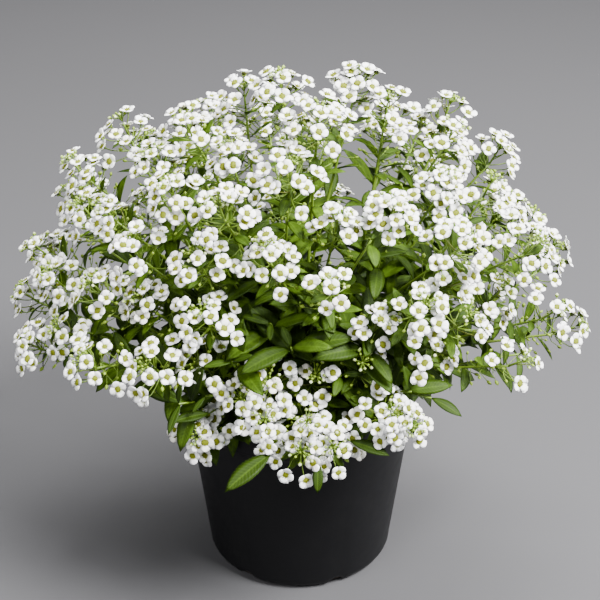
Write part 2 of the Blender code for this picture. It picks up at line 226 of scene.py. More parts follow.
def heads_of(stem, rng):
    """The heads of one stem: (tip, axis) each, set evenly round the stem's own direction."""
    azimuth, rise, reach, count = stem
    middle = direction(azimuth, rise)
    side, other = square_to(middle, rng.uniform(0, math.tau))
    ring = math.radians(HEAD_SPACING_DEG) * HEAD_RING[count] * SPACING_REACH / reach
    heads = []
    for index in range(count):
        angle = math.tau * index / count
        spread = (side * math.cos(angle) + other * math.sin(angle)) * math.tan(ring)
        heading = (middle + spread).normalized()
        tip = CROWN + heading * (reach * MM + rng.uniform(*HEAD_LEVELS))
        axis = (heading + Vector((0, 0, HEAD_LIFT)) + spread * HEAD_FLARE).normalized()
        heads.append((tip, axis))
    return heads


def rows_of(table, number):
    """The rows of a table that belong to the stem of that number, without the number."""
    return [row[1:] for row in table if row[0] == number]


def sprigs_of(number):
    """The small heads of one stem: (tip, axis) each, lifted like the others."""
    sprigs = []
    for azimuth, rise, reach in rows_of(SPRIGS, number):
        heading = direction(azimuth, rise)
        axis = (heading + Vector((0, 0, HEAD_LIFT))).normalized()
        sprigs.append((CROWN + heading * reach * MM, axis))
    return sprigs


# Arrays of vectors

def unit(vectors):
    """Each vector divided by its own length."""
    vectors = np.asarray(vectors, float)
    return vectors / np.maximum(np.linalg.norm(vectors, axis=-1, keepdims=True), 1e-12)


def square_part(vectors, axes):
    """What is left of each vector when its share along the axis is taken away, made unit length."""
    return unit(vectors - axes * (vectors * axes).sum(axis=-1, keepdims=True))


def arc(start, bend, end, shares):
    """Quadratic Bezier curves: (1-t)^2 start + 2t(1-t) bend + t^2 end, a row of points a curve."""
    t = np.asarray(shares, float)[:, None]
    start, bend, end = (np.asarray(p, float)[..., None, :] for p in (start, bend, end))
    return (1 - t) ** 2 * start + 2 * t * (1 - t) * bend + t**2 * end


def any_side(axes):
    """A unit vector square to each axis, by way of the world axis that it leans on least."""
    helper = np.eye(3)[np.argmin(np.abs(axes), axis=-1)]
    return square_part(helper, axes)


def spokes(axes, angles):
    """Unit vectors square to the axes, a row for each angle of each: side cos a + other sin a."""
    side = any_side(axes)
    other = np.cross(axes, side)
    angles = angles[..., None]
    return (side[:, None] * np.cos(angles) + other[:, None] * np.sin(angles)).reshape(-1, 3)


# Closed surfaces

def ring_walls(first, rings, sides):
    """Four-sided faces between rings of points that follow each other, counted from the first."""
    spot = np.arange(sides)
    ahead = (spot + 1) % sides
    low = first + np.arange(rings - 1)[:, None] * sides
    walls = np.stack([low + spot, low + sides + spot, low + sides + ahead, low + ahead], axis=-1)
    return walls.reshape(-1, 4)


def closed_faces(rings, sides):
    """The faces of rings of points with one pole before the first ring and one after the last."""
    spot = np.arange(sides)
    ahead = (spot + 1) % sides
    last = 1 + (rings - 1) * sides
    start = np.stack([np.zeros(sides, int), 1 + spot, 1 + ahead], axis=1)
    end = np.stack([np.full(sides, last + sides), last + ahead, last + spot], axis=1)
    return [ring_walls(1, rings, sides), start, end]


def lens(rows, columns):
    """The pattern of a closed two-faced blade that runs from a pole at its root to one at its tip.

    Each row across it shares its two rim points between the upper and the lower face. Gives each
    point's row share u, column share v from -1 to 1, face (1 up, -1 down, 0 rim), and the faces.
    """
    shares = np.linspace(-1, 1, columns + 1)
    loop_v = np.concatenate([shares, shares[-2:0:-1]])
    loop_face = np.concatenate([[0], np.ones(columns - 1), [0], -np.ones(columns - 1)])
    around = len(loop_v)
    u = np.concatenate([[0], np.repeat(np.arange(1, rows) / rows, around), [1]])
    v = np.concatenate([[0], np.tile(loop_v, rows - 1), [0]])
    face = np.concatenate([[0], np.tile(loop_face, rows - 1), [0]])
    return u, v, face, closed_faces(rows - 1, around)


def place_on(origins, along, across, up, x, y, z):
    """Points of every copy: origin + x along + y across + z up."""
    return (
        origins[:, None] + along[:, None] * x[..., None]
        + across[:, None] * y[..., None] + up[:, None] * z[..., None]
    )


def spindles(roots, along, lengths, widths, pattern, waist=1.0):
    """Small pointed ovals, such as buds, pods and anthers: a half width of
    width / 2 times sin(pi s) to the power of the waist, with a square cross-section set on edge."""
    u, v, face, faces = pattern
    up = any_side(along)
    across = np.cross(up, along)
    half = widths[:, None] / 2 * np.sin(np.pi * u) ** waist
    x = lengths[:, None] * u
    return place_on(roots, along, across, up, x, half * v, half * face), faces


def tubes(lines, radii, sides):
    """Tapering stalks: round each point of each line, radius (side cos a + other sin a)."""
    lines = np.asarray(lines, float)
    copies, steps = lines.shape[:2]
    along = unit(np.gradient(lines, axis=1))
    first, last = along[:, 0], along[:, -1]
    flat = np.cross(first, last) + 1e-3 * any_side(first)
    side = square_part(np.repeat(flat[:, None], steps, axis=1), along)
    other = np.cross(along, side)
    radii = np.broadcast_to(np.asarray(radii, float), (copies, steps))[:, :, None, None]
    angle = np.linspace(0, math.tau, sides, endpoint=False)[:, None]
    spoke = side[:, :, None] * np.cos(angle) + other[:, :, None] * np.sin(angle)
    points = (lines[:, :, None] + spoke * radii).reshape(copies, steps * sides, 3)
    walls = ring_walls(0, steps, sides)[:, [0, 3, 2, 1]]
    fan = np.arange(1, sides - 1)
    foot = np.stack([np.zeros_like(fan), fan + 1, fan], axis=1)
    cap = np.stack([np.zeros_like(fan), fan, fan + 1], axis=1) + (steps - 1) * sides
    return points, [walls, foot, cap]


def turned(radii, heights, sides):
    """A closed turned surface: the profile from its top pole, down the outside to its bottom pole,
    carried round Z. The first and last points of the profile lie on the axis."""
    angle = np.linspace(0, math.tau, sides, endpoint=False)
    r, h = np.asarray(radii[1:-1])[:, None], np.asarray(heights[1:-1])[:, None]
    body = np.stack([r * np.cos(angle), r * np.sin(angle), h + 0 * angle], axis=-1)
    points = np.concatenate([
        [[0, 0, heights[0]]], body.reshape(-1, 3), [[0, 0, heights[-1]]],
    ])
    return points, closed_faces(len(r), sides)


class Surface:
    """Gathers the copies that make one piece, then puts them into a mesh."""

    def __init__(self):
        self.points, self.paints = [], []
        self.faces = {3: [], 4: []}
        self.finishes = {3: [], 4: []}
        self.count = 0

    def add(self, shape, finish=0, tone=0.5, along=0.5, across=0.0):
        """Adds copies of one shape: (copies, points, 3) and the faces that all the copies share.

        tone, along and across are numbers, or arrays that fit (copies, points), for the finish.
        """
        points, faces = shape
        copies, size = points.shape[:2]
        starts = self.count + np.arange(copies)[:, None, None] * size
        for group in faces:
            corners = group.shape[1]
            self.faces[corners].append((starts + group).reshape(-1, corners))
            self.finishes[corners].append(np.full(copies * len(group), finish))
        self.points.append(points.reshape(-1, 3))
        paint = [np.broadcast_to(p, (copies, size)).reshape(-1) for p in (tone, along, across)]
        self.paints.append(np.stack(paint))
        self.count += copies * size

    def build(self, name, finishes, slot, nodes=(), smooth=True):
        """The mesh object, riding on the part and standing for the named solids."""
        mesh = bpy.data.meshes.new(name)
        points = np.concatenate(self.points)
        corners, starts, finish = [], [], []
        offset = 0
        for size in (4, 3):
            if not self.faces[size]:
                continue
            faces = np.concatenate(self.faces[size])
            corners.append(faces.reshape(-1))
            starts.append(offset + np.arange(len(faces)) * size)
            finish.append(np.concatenate(self.finishes[size]))
            offset += faces.size
        starts = np.concatenate(starts)
        mesh.vertices.add(len(points))
        mesh.vertices.foreach_set("co", points.astype(np.float32).reshape(-1))
        mesh.loops.add(offset)
        mesh.loops.foreach_set("vertex_index", np.concatenate(corners).astype(np.int32))
        mesh.polygons.add(len(starts))
        mesh.polygons.foreach_set("loop_start", starts.astype(np.int32))
        mesh.polygons.foreach_set("material_index", np.concatenate(finish).astype(np.int32))
        mesh.polygons.foreach_set("use_smooth", np.full(len(starts), smooth))
        for index, paint in enumerate(("tone", "along", "across")):
            layer = mesh.attributes.new(paint, "FLOAT", "POINT")
            values = np.concatenate([p[index] for p in self.paints])
            layer.data.foreach_set("value", values.astype(np.float32))
        mesh.update(calc_edges=True)
        mesh.validate()
        item = bpy.data.objects.new(name, mesh)
        bpy.context.scene.collection.objects.link(item)
        for material in finishes:
            mesh.materials.append(material)
        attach(item, "root")
        if nodes:
            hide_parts(*nodes)
        return item


# Finishes

class Finish:
    """One material, with short names for the nodes that colour it."""

    def __init__(self, name, roughness, **constants):
        self.material = bpy.data.materials.new(name)
        self.material.use_nodes = True
        self.tree = self.material.node_tree
        self.surface = self.tree.nodes["Principled BSDF"]
        self.surface.inputs["Roughness"].default_value = roughness
        for socket, value in constants.items():
            self.surface.inputs[socket.replace("_", " ")].default_value = value

    def link(self, source, target):
        self.tree.links.new(source, target)

    def paint(self, name):
        """A value that the mesh carries at each point."""
        node = self.node("Attribute")
        node.attribute_name = name
        return node.outputs["Fac"]

    def node(self, kind, **values):
        """A new node of the kind, with values for inputs by their names, spaces as underscores."""
        node = self.tree.nodes.new("ShaderNode" + kind)
        for name, value in values.items():
            node.inputs[name.replace("_", " ")].default_value = value
        return node

    def noise(self, scale, detail=3.0, roughness=0.55):
        node = self.node("TexNoise", Scale=scale, Detail=detail, Roughness=roughness)
        self.link(self.node("TexCoord").outputs["Object"], node.inputs["Vector"])
        return node.outputs["Fac"]

    def maths(self, operation, first, second=0.0):
        """One step of arithmetic between sockets or plain numbers."""
        node = self.node("Math")
        node.operation = operation
        for socket, value in zip(node.inputs, (first, second)):
            if isinstance(value, (int, float)):
                socket.default_value = value
            else:
                self.link(value, socket)
        return node.outputs[0]

    def spread(self, share, low, high, start=0.0, end=1.0):
        """The share stretched so that low becomes start and high becomes end."""
        node = self.node("MapRange", From_Min=low, From_Max=high, To_Min=start, To_Max=end)
        self.link(share, node.inputs["Value"])
        return node.outputs["Result"]

    def blend(self, share, first, second):
        """A colour between two others. Each is a socket or three numbers."""
        node = self.node("Mix")
        node.data_type = "RGBA"
        if isinstance(share, float):
            node.inputs[0].default_value = share
        else:
            self.link(share, node.inputs[0])
        for socket, value in ((node.inputs[6], first), (node.inputs[7], second)):
            if isinstance(value, bpy.types.NodeSocket):
                self.link(value, socket)
            else:
                socket.default_value = (*value, 1.0)
        return node.outputs[2]

    def colour(self, source):
        self.link(source, self.surface.inputs["Base Color"])

    def roughen(self, source, low, high):
        self.link(self.spread(source, 0.0, 1.0, low, high), self.surface.inputs["Roughness"])

    def bump(self, source, height, strength=1.0):
        node = self.node("Bump", Strength=strength, Distance=height)
        self.link(source, node.inputs["Height"])
        self.link(node.outputs["Normal"], self.surface.inputs["Normal"])


def tinted(colour, *shares):
    """The colour with its channels times the shares: one share for all, or one each."""
    return tuple(np.multiply(colour, shares))


def petal_finish(colour, throat):
    """Petal white: cool and clean, with a faint green throat, soft veins and slight patches."""
    finish = Finish("alyssum_petal_white", 0.55)
    shade = finish.blend(finish.noise(900.0), colour, tinted(colour, 0.93))
    tint = finish.spread(finish.paint("along"), 0.5, 0.2)
    shade = finish.blend(tint, shade, throat)
    age = finish.spread(finish.paint("tone"), 0.86, 1.0)
    shade = finish.blend(age, shade, tinted(colour, 0.96, 0.93, 0.84))
    finish.colour(shade)
    veins = finish.maths("SINE", finish.maths("MULTIPLY", finish.paint("across"), 14.0))
    finish.bump(finish.maths("MULTIPLY", veins, finish.paint("along")), 0.05 * MM, 0.5)
    return finish.material


def heart_finish(colour, rim):
    """The heart of a floret: yellow-green on top and olive round its foot, finely grained."""
    finish = Finish("alyssum_heart", 0.7, Specular_IOR_Level=0.25)
    top = finish.blend(finish.noise(2500.0), colour, tinted(colour, 0.6))
    finish.colour(finish.blend(finish.spread(finish.paint("along"), 0.75, 0.35), top, rim))
    finish.bump(finish.noise(4000.0), 0.08 * MM)
    return finish.material


def anther_finish():
    """Ripe pollen yellow, a little darker at the foot."""
    finish = Finish("alyssum_anther", 0.75, Specular_IOR_Level=0.25)
    pollen = finish.blend(finish.noise(3500.0), (0.24, 0.22, 0.004), (0.10, 0.095, 0.002))
    foot = finish.spread(finish.paint("along"), 0.5, 0.0)
    finish.colour(finish.blend(foot, pollen, (0.09, 0.11, 0.006)))
    finish.bump(finish.noise(6000.0), 0.05 * MM)
    return finish.material


def leaf_finish(light, dark):
    """A leaf: pale midrib, faint side veins, mottled between, with duller and brighter leaves and
    painted shade.
    """
    finish = Finish("alyssum_leaf", 0.5, Specular_IOR_Level=0.12)
    blade = finish.blend(finish.paint("tone"), dark, light)
    # Painted shade: a tone below 0 darkens the leaf towards a deep green, as for leaves that lie in
    # shade.
    painted_shade = finish.spread(finish.paint("tone"), 0.0, -1.0)
    blade = finish.blend(painted_shade, blade, tinted(dark, 0.4))
    mottle = finish.spread(finish.noise(260.0), 0.35, 0.75)
    blade = finish.blend(mottle, blade, tinted(dark, 0.72))
    across = finish.maths("ABSOLUTE", finish.paint("across"))
    rib = finish.spread(across, 0.16, 0.02)
    slant = finish.maths("SUBTRACT", finish.paint("along"), finish.maths("MULTIPLY", across, 0.13))
    veins = finish.maths("SINE", finish.maths("MULTIPLY", slant, 95.0))
    faint = finish.maths("MULTIPLY", finish.spread(veins, 0.55, 1.0), 0.07)
    pale = [c * 1.4 + 0.008 for c in light]
    shade = finish.blend(faint, blade, pale)
    finish.colour(finish.blend(finish.maths("MULTIPLY", rib, 0.2), shade, pale))
    finish.roughen(finish.noise(500.0), 0.44, 0.66)
    groove = finish.maths("SUBTRACT", veins, finish.maths("MULTIPLY", rib, 2.0))
    finish.bump(groove, 0.08 * MM, 0.3)
    return finish.material


def stalk_finish(light, dark):
    """Stems and stalks: bright green where young, duller and browner towards the soil."""
    finish = Finish("alyssum_stalk", 0.5)
    young = finish.blend(finish.noise(350.0), light, tinted(light, 0.7))
    shade = finish.blend(finish.spread(finish.paint("along"), 0.45, 0.0), young, dark)
    tone = finish.spread(finish.paint("tone"), 0.75, 1.0)
    finish.colour(finish.blend(tone, shade, tinted(light, 0.9, 0.6, 0.8)))
    finish.bump(finish.noise(1500.0), 0.06 * MM, 0.6)
    return finish.material


def bud_finish():
    """Flower buds: yellow-green below, whitening at the tip on the older ones."""
    finish = Finish("alyssum_bud", 0.55)
    young = finish.blend(finish.noise(1800.0), (0.24, 0.34, 0.018), (0.14, 0.23, 0.012))
    white = finish.spread(finish.paint("along"), 0.45, 0.8)
    ripe = finish.maths("MULTIPLY", white, finish.spread(finish.paint("tone"), 0.5, 1.0))
    finish.colour(finish.blend(ripe, young, (0.72, 0.76, 0.5)))
    finish.bump(finish.noise(3000.0), 0.05 * MM)
    return finish.material


def pot_finish(colour):
    """Moulded black plastic: satin, with a fine orange-peel grain, faint dust and rubbed patches."""
    finish = Finish("nursery_pot_plastic", 0.5, Specular_IOR_Level=0.22)
    dust = finish.spread(finish.noise(45.0, 5.0, 0.7), 0.52, 0.85)
    dust = finish.maths("MULTIPLY", dust, 0.25)
    finish.colour(finish.blend(dust, colour, (0.012, 0.0115, 0.011)))
    finish.roughen(finish.noise(120.0, 4.0), 0.42, 0.6)
    finish.bump(finish.noise(1400.0, 2.0), 0.03 * MM, 0.4)
    return finish.material


def soil_finish():
    """Damp peat: dark brown crumbs of several browns."""
    finish = Finish("potting_mix", 0.95)
    shade = finish.blend(finish.noise(420.0, 6.0, 0.7), (0.012, 0.008, 0.005), (0.055, 0.034, 0.02))
    pale = finish.spread(finish.paint("tone"), 0.6, 1.0)
    finish.colour(finish.blend(pale, shade, (0.08, 0.05, 0.028)))
    finish.bump(finish.noise(900.0, 5.0), 0.5 * MM)
    return finish.material


def perlite_finish():
    """Expanded perlite: off-white and porous."""
    finish = Finish("perlite", 0.9)
    finish.colour(finish.blend(finish.noise(1600.0), (0.62, 0.6, 0.56), (0.42, 0.4, 0.36)))
    finish.bump(finish.noise(2600.0), 0.2 * MM)
    return finish.material


def stage_finish(name, colour, spread_colour):
    """Plain pale card with a barely visible mottle."""
    finish = Finish(name, 0.9)
    finish.colour(finish.blend(finish.noise(9.0), colour, spread_colour))
    return finish.material


# What a user would change

def size_setting(name, description, millimetres):
    return FloatProperty(name=name, description=description, default=millimetres * MM, unit="LENGTH")


def count_setting(name, description, count):
    return IntProperty(name=name, description=description, default=count)


def colour_setting(name, description, colour):
    return FloatVectorProperty(name=name, description=description, default=colour, subtype="COLOR")


class PotSettings(bpy.types.PropertyGroup):
    """Sizes and colour of the nursery pot."""

    wall: size_setting("Wall", "Thickness of the pot's wall", 1.6)
    rim_band: size_setting("Rim Band", "Height of the thicker band at the rim", 12.0)
    rim_step: size_setting("Rim Step", "How far the rim band stands proud", 1.2)
    base_radius: size_setting("Base Radius", "Outer radius above the foot", 48.5)
    foot_round: size_setting("Foot Round", "Radius of the rounded foot", 7.0)
    notch_depth: size_setting("Foot Notch", "Depth of the drain notches", 1.6)
    colour: colour_setting("Colour", "Colour of the plastic", (0.0025, 0.0025, 0.003))


class BloomSettings(bpy.types.PropertyGroup):
    """The florets and how they crowd in a head."""

    floret_radius: size_setting("Floret Radius", "From the heart to a petal's tip", 4.1)
    petal_width: size_setting("Petal Width", "Widest part of one petal", 4.7)
    outer: count_setting("Outer Florets", "Florets in the outer ring of a head", 5)
    inner: count_setting("Inner Florets", "Florets in the inner ring of a head", 4)
    lower: count_setting("Lower Florets", "Florets that hang below the outer ring", 3)
    stray: count_setting("Stray Florets", "Florets between and under the outer ring's", 4)
    petal: colour_setting("Petal", "Colour of the petals", (0.99, 0.99, 0.99))
    throat: colour_setting("Throat", "Tint at a petal's foot", (0.66, 0.71, 0.34))
    heart: colour_setting("Heart", "Colour of a floret's heart", (0.175, 0.205, 0.002))
    heart_rim: colour_setting("Heart Rim", "Colour round the heart's foot", (0.045, 0.052, 0.002))


class FoliageSettings(bpy.types.PropertyGroup):
    """Leaves, stems, buds and pods."""

    leaf_length: size_setting("Leaf Length", "A full-grown leaf", 27.0)
    leaf_width: size_setting("Leaf Width", "Widest part of a full-grown leaf", 9.2)
    stem_leaves: count_setting("Stem Leaves", "Leaves up one main stem", 11)
    branch_leaves: count_setting("Branch Leaves", "Leaves up one branch", 12)
    pods: count_setting("Pods", "Seed pods below one head", 18)
    buds: count_setting("Buds", "Buds in the middle of one head", 17)
    light: colour_setting("Light Leaf", "The brighter leaves", (0.070, 0.135, 0.004))
    dark: colour_setting("Dark Leaf", "The darker leaves", (0.024, 0.050, 0.002))
    stalk: colour_setting("Stalk", "Young stems and stalks", (0.15, 0.25, 0.014))
    old_stalk: colour_setting("Old Stalk", "Stems near the soil", (0.12, 0.15, 0.04))


class StageSettings(bpy.types.PropertyGroup):
    """The camera, the light and the floor."""

    elevation: FloatProperty(name="Elevation", description="Camera's height above the horizon",
                             default=math.radians(28.0), subtype="ANGLE")
    distance: size_setting("Distance", "From the camera to its target", 800.0)
    target: size_setting("Target Height", "Height that the camera looks at", 146.0)
    lens: FloatProperty(name="Lens", description="Focal length in mm on a 36 mm sensor",
                        default=95.04)
    floor: colour_setting("Floor", "Colour of the floor", (0.066, 0.065, 0.0685))


# Parts of the plant

LEAF_PATTERN = lens(7, 4)
PETAL_PATTERN = lens(4, 3)
BEAD_PATTERN = lens(3, 2)
CHIP_PATTERN = lens(2, 2)

# Each finish's place among a stem's green materials, and among its bloom's.
STALK, LEAF, BUD = 0, 1, 2
PETAL, HEART, ANTHER = 0, 1, 2

# Shift and roundness of the outlines. A leaf is widest a little past its middle and has a narrow
# foot. A petal is widest near three fifths and has a blunt tip.
LEAF_OVAL = (1.05, 0.85)
PETAL_OVAL = (1.3, 0.55)

LEAF_BELLY = 0.28 * MM
LEAF_FOLD = 0.28

# Ranges of the leaves: turn of a line's lowest leaf in radians, lean along the line, length and
# width as shares of the full size, and droop in radians.
LEAF_TURN = (0, 6)
LEAF_LEAN = (0.35, 0.8)
LEAF_LENGTHS = (0.85, 1.12)
LEAF_WIDTHS = (0.82, 1.15)
LEAF_DROOPS = (0.15, 1.0)
LEAF_SCATTER = 0.25

PETALS = 4
# Shares along a petal at which its rows of points stand.
PETAL_ROWS = np.array([0.0, 0.34, 0.68, 0.93, 1.0])
PETAL_BELLY = 0.13 * MM
PETAL_OVERLAP = 0.14 * MM

# Ranges of the petals: length and width as shares of the full size, and bowl, curl and cup in mm.
PETAL_LENGTHS = (0.93, 1.06)
PETAL_WIDTHS = (0.93, 1.07)
PETAL_BOWLS = (0.9, 2.0)
PETAL_CURLS = (-0.3, 0.5)
PETAL_CUPS = (-0.35, 0.2)
PETAL_SCATTER = 0.06

# The heart's profile, and how much longer and shorter than round it is.
HEART_RADII = np.array([0.0, 0.95, 1.55, 1.95, 0.0]) * MM
HEART_HEIGHTS = np.array([1.42, 1.3, 1.0, 0.62, -0.5]) * MM
HEART_SIDES = 7
HEART_LONG, HEART_SHORT = 1.12, 0.86

# Where shoots and hanging leaves start on a stem's line, as shares of it.
SHOOT_START = 0.3
HANGING_START = 0.9

# Seed pods: their span on a branch's line, lean along it, and stalks and sizes in mm.
POD_SPAN = (0.6, 0.985)
POD_LEAN = (0.15, 0.5)
POD_STALKS = (6.5, 9.5)
POD_SIZES = (0.8, 1.2)

ANTHERS = 6
ANTHER_RISE = 0.95 * MM
SEPAL_DROP = 1.1 * MM

# Each ring of a head: polar angle, stalk length, root below the tip, lean of the floret's face to
# the head's axis, and size, all of them by name.
RINGS = {
    "outer": {"polar": 1.0, "stalk": 13.2, "root": 12.0, "face": 0.8, "size": 1.0},
    "inner": {"polar": 0.62, "stalk": 9.8, "root": 7.4, "face": 1.1, "size": 0.97},
    "lower": {"polar": 1.3, "stalk": 14.2, "root": 16.5, "face": 0.6, "size": 0.98},
    "stray": {"polar": 0.95, "stalk": 14.0, "root": 16.0, "face": 0.8, "size": 0.95},
}

# How far a floret may stand from its even place, as a share of the spacing in its ring, and how
# much of that it tilts to or from the axis, in radians.
RING_WOBBLE = 0.34
POLAR_WOBBLE = 0.35

# Ranges of a head: spread of its rings, depth of its stalks' roots, florets more or fewer in a
# ring, and length of a stalk and size of a floret as shares of the ring's own.
HEAD_SPREADS = (0.86, 1.1)
HEAD_DEPTHS = (0.92, 1.3)
COUNT_CHANGES = (-2, 2)
STALK_LENGTHS = (0.84, 1.12)
FLORET_SIZES = (0.9, 1.06)
FACING_SCATTER = 0.22

# Florets turn a little towards the light, from above and in front.
TOWARDS_LIGHT = np.array([0.0, -0.4, 0.35])

# Half thickness of each kind of stalk, from its foot to its tip.
STEM_RADII = np.linspace(1.35, 0.85, 9) * MM
BRANCH_RADII = np.linspace(0.8, 0.55, 9) * MM
SHOOT_RADII = np.linspace(0.85, 0.45, 9) * MM
HANGING_RADII = np.linspace(0.6, 0.4, 6) * MM
HEAD_RADII = np.array([0.56, 0.5, 0.42]) * MM
FLORET_RADII = np.array([0.34, 0.3, 0.3, 0.42]) * MM
FINE_RADIUS = 0.24 * MM


def oval(s, shift, roundness):
    """The half width of a leaf or petal at s along it: sin(pi s^shift)^roundness."""
    return np.sin(np.pi * np.clip(s, 0, 1) ** shift) ** roundness


def curve(start, bend, end):
    """One quadratic Bezier curve, as a function of the shares along it."""
    return lambda shares: arc([start], [bend], [end], shares)[0]


def joined(groups):
    """Tuples of arrays put end to end, place by place."""
    return tuple(np.concatenate(arrays) for arrays in zip(*groups))


class Stem:
    """One main stem: its own curve, and the curves of its branches up to their heads."""

    def __init__(self, index, base):
        azimuth, rise, reach, _ = STEMS[index]
        self.number = index + 1
        self.middle = direction(azimuth, rise)
        self.heads = heads_of(STEMS[index], random.Random(SEED + index)) + sprigs_of(self.number)
        collar = Vector((base.x, base.y, SOIL_LEVEL + COLLAR_RISE))
        fork = CROWN + self.middle * reach * MM * BRANCHING_SHARE
        self.line = curve(collar, collar + Vector((0, 0, STEM_RISE)), fork)
        self.chance = np.random.default_rng(SEED * 100 + index)

    def branch_ends(self):
        """Start, bend and hub of each branch, as three arrays."""
        ends = []
        for order, (tip, axis) in enumerate(self.heads):
            share = 1 - (BRANCH_START + BRANCH_STAGGER * order) / 2
            start = Vector(self.line([share])[0])
            hub = tip - axis * HEAD_DEPTH
            ends.append((start, start.lerp(hub, BRANCH_BEND) + self.middle * BRANCH_ARCH, hub))
        return tuple(np.array(points) for points in zip(*ends))


def cone(axis, polar, angle, turn=0.0):
    """Unit vectors round the axis, a row each: axis cos p + (side cos a + other sin a) sin p."""
    side, other = square_to(axis, turn)
    ring = np.outer(np.cos(angle), side) + np.outer(np.sin(angle), other)
    return np.outer(np.cos(polar), axis) + ring * np.sin(polar)[:, None]


def head_florets(stem, order, bloom):
    """Where the florets of one head stand: roots of their stalks, centres, facings and sizes."""
    chance = stem.chance
    tip, axis = stem.heads[order]
    more = FULLNESS.get(stem.number, 0) + SPARSE.get((stem.number, order), 0)
    florets = []
    loose, stretch = chance.uniform(*HEAD_SPREADS), chance.uniform(*HEAD_DEPTHS)
    for ring_name, ring in RINGS.items():
        count = max(getattr(bloom, ring_name) + int(chance.integers(*COUNT_CHANGES)) + more, 0)
        turn = chance.uniform(0, math.tau)
        spot = np.arange(count) + chance.uniform(-RING_WOBBLE, RING_WOBBLE, count)
        tilt = chance.uniform(-RING_WOBBLE, RING_WOBBLE, count) * POLAR_WOBBLE
        polar = ring["polar"] * loose + tilt
        heading = cone(axis, polar, math.tau * spot / max(count, 1), turn)
        depth = ring["root"] * stretch + chance.uniform(-2, 2, count)
        root = np.array(tip) - np.outer(depth, axis) * MM
        stalk = ring["stalk"] * MM * loose * chance.uniform(*STALK_LENGTHS, count)[:, None]
        facing = unit(heading + np.array(axis) * ring["face"] + TOWARDS_LIGHT
                      + chance.normal(0, FACING_SCATTER, (count, 3)))
        size = ring["size"] * chance.uniform(*FLORET_SIZES, count)
        florets.append((root, root + heading * stalk, facing, size))
    return joined(florets)


def stalks(roots, centres, facings):
    """Thin curved stalks: a Bezier from the root, bent so that it meets the floret from behind."""
    reach = np.linalg.norm(centres - roots, axis=1)[:, None]
    return arc(roots, centres - facings * reach * 0.38, centres - facings * 0.9 * MM,
               np.linspace(0, 1, len(FLORET_RADII)))


def petal_shape(centres, facings, sizes, chance, bloom):
    """Four petals a floret. With s from heart to tip and v across, the limb rises by the bowl times
    sin(1.7 s), its tip curls by s squared and its edges bend by v squared, and its faces stand a
    little apart. Every other petal lies a little over its neighbours."""
    count = len(centres)
    each = (count * PETALS, 1)
    turn = chance.uniform(0, math.tau, (count, 1))
    wobble = chance.normal(0, PETAL_SCATTER, (count, PETALS))
    out = spokes(facings, turn + np.arange(PETALS) * math.tau / PETALS + wobble)
    up = np.repeat(facings, PETALS, axis=0)
    size = np.repeat(sizes, PETALS)[:, None]
    u, v, face, faces = PETAL_PATTERN
    s = PETAL_ROWS[np.rint(u * (len(PETAL_ROWS) - 1)).astype(int)]
    length = bloom.floret_radius * size * chance.uniform(*PETAL_LENGTHS, each)
    width = bloom.petal_width * size * chance.uniform(*PETAL_WIDTHS, each)
    half = width / 2 * oval(s, *PETAL_OVAL)
    bowl = np.repeat(chance.uniform(*PETAL_BOWLS, count), PETALS)[:, None] * MM
    curl = chance.uniform(*PETAL_CURLS, each) * MM
    cup = chance.uniform(*PETAL_CUPS, each) * MM
    layer = np.tile([0.0, PETAL_OVERLAP], each[0] // 2)[:, None]
    z = bowl * np.sin(s * 1.7) - curl * s**2 - cup * v**2 * s + layer * s + face * PETAL_BELLY
    centre = np.repeat(centres, PETALS, axis=0)
    points = place_on(centre, out, np.cross(up, out), up, length * s, half * v, z)
    tone = np.repeat(chance.uniform(0, 1, count), PETALS)[:, None]
    return (points, faces), tone, s, v


def heart_shape(centres, facings, sizes, chance):
    """The heart: an oval dome with an olive foot, turned from its profile."""
    shape, faces = turned(HEART_RADII, HEART_HEIGHTS, HEART_SIDES)
    along = spokes(facings, chance.uniform(0, math.tau, (len(centres), 1)))
    across = np.cross(facings, along)
    size = sizes[:, None]
    x, y, z = shape.T
    points = place_on(centres, along, across, facings,
                      x * size * HEART_LONG, y * size * HEART_SHORT, z * size)
    return (points, faces), np.clip(z / HEART_HEIGHTS[0], 0, 1)


def ring_round(centres, facings, count, chance):
    """An even ring round each floret: the centre, facing and spoke of each place, a row each."""
    angle = chance.uniform(0, math.tau, (len(centres), 1)) + np.arange(count) * math.tau / count
    centre, facing = np.repeat(centres, count, axis=0), np.repeat(facings, count, axis=0)
    return centre, facing, spokes(facings, angle)


def anther_shape(centres, facings, sizes, chance):
    """Six anthers round the heart, each a small pointed oval leaning outwards."""
    centre, facing, spoke = ring_round(centres, facings, ANTHERS, chance)
    size = np.repeat(sizes, ANTHERS) * MM
    root = centre + spoke * size[:, None] + facing * ANTHER_RISE
    along = unit(facing + spoke * 0.45 + chance.normal(0, 0.15, spoke.shape))
    return spindles(root, along, 0.95 * size, 0.55 * size, CHIP_PATTERN)


def sepal_shape(centres, facings, chance):
    """Four small green sepals behind each floret."""
    centre, facing, spoke = ring_round(centres, facings, PETALS, chance)
    size = np.full(len(centre), MM)
    return spindles(centre - facing * SEPAL_DROP, unit(facing * 0.75 + spoke), 1.9 * size, size,
                    CHIP_PATTERN)


def bud_cluster(stem, tip, axis, count):
    """Buds in the head's middle on fine stalks. They stand on a small dome by the golden angle,
    youngest in the middle."""
    chance = stem.chance
    order = (np.arange(count) + 0.5) / count
    angle = GOLDEN * np.arange(count) + chance.uniform(0, math.tau) + chance.normal(0, 0.25, count)
    heading = cone(axis, np.sqrt(order), angle)
    root = np.repeat([np.array(tip - axis * 3.5 * MM)], count, axis=0)
    length = (4.2 + 2.2 * order)[:, None] * MM * chance.uniform(0.75, 1.15, (count, 1))
    foot = root + heading * length
    size = (0.75 + 0.6 * order) * MM
    lines = arc(root, root + np.array(axis) * length * 0.4, foot, np.linspace(0, 1, 3))
    return lines, foot, heading, size, order


